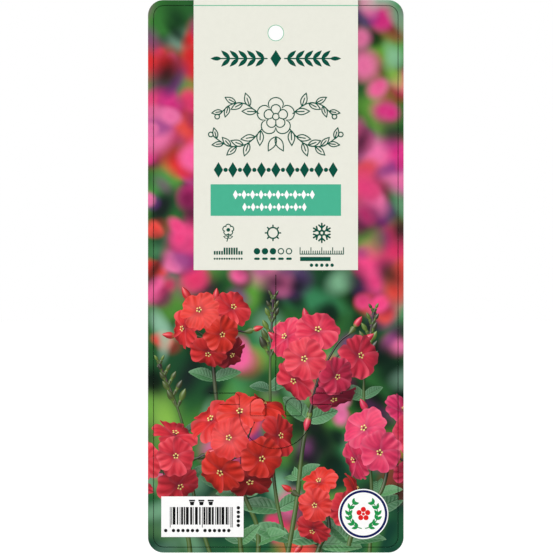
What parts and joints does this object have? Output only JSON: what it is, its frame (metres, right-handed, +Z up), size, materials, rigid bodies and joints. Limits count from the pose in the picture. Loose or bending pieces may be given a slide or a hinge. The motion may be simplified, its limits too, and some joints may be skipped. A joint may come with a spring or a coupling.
{
  "type": "plant label",
  "caption": "Upright hanging plant label of printed plastic sheet, with a round hang hole, a centre slit and a die-cut tongue that grips a pot's rim.",
  "frame": {"origin": "centre of the hang hole, at mid thickness of the sheet", "axes": "+Z up along the label's length, -Y out of the printed front, +X to the right seen from the front"},
  "size_m": [0.099, 0.0006, 0.214],
  "materials": {
    "sheet": "white polypropylene sheet, fine matt grain on the back, semi-gloss varnish over the printed front",
    "picture_print": "colour print of red garden flowers and leaves under semi-gloss varnish",
    "cream_print": "flat cream print under semi-gloss varnish",
    "dark_green_print": "flat dark green print under semi-gloss varnish",
    "teal_print": "flat teal print under semi-gloss varnish",
    "white_print": "unprinted white under semi-gloss varnish",
    "black_print": "flat black print under semi-gloss varnish",
    "cut_line": "thin dark line along the die cuts"
  },
  "bodies": {
    "root": {"label_sheet": "sheet"}
  },
  "joints": []
}
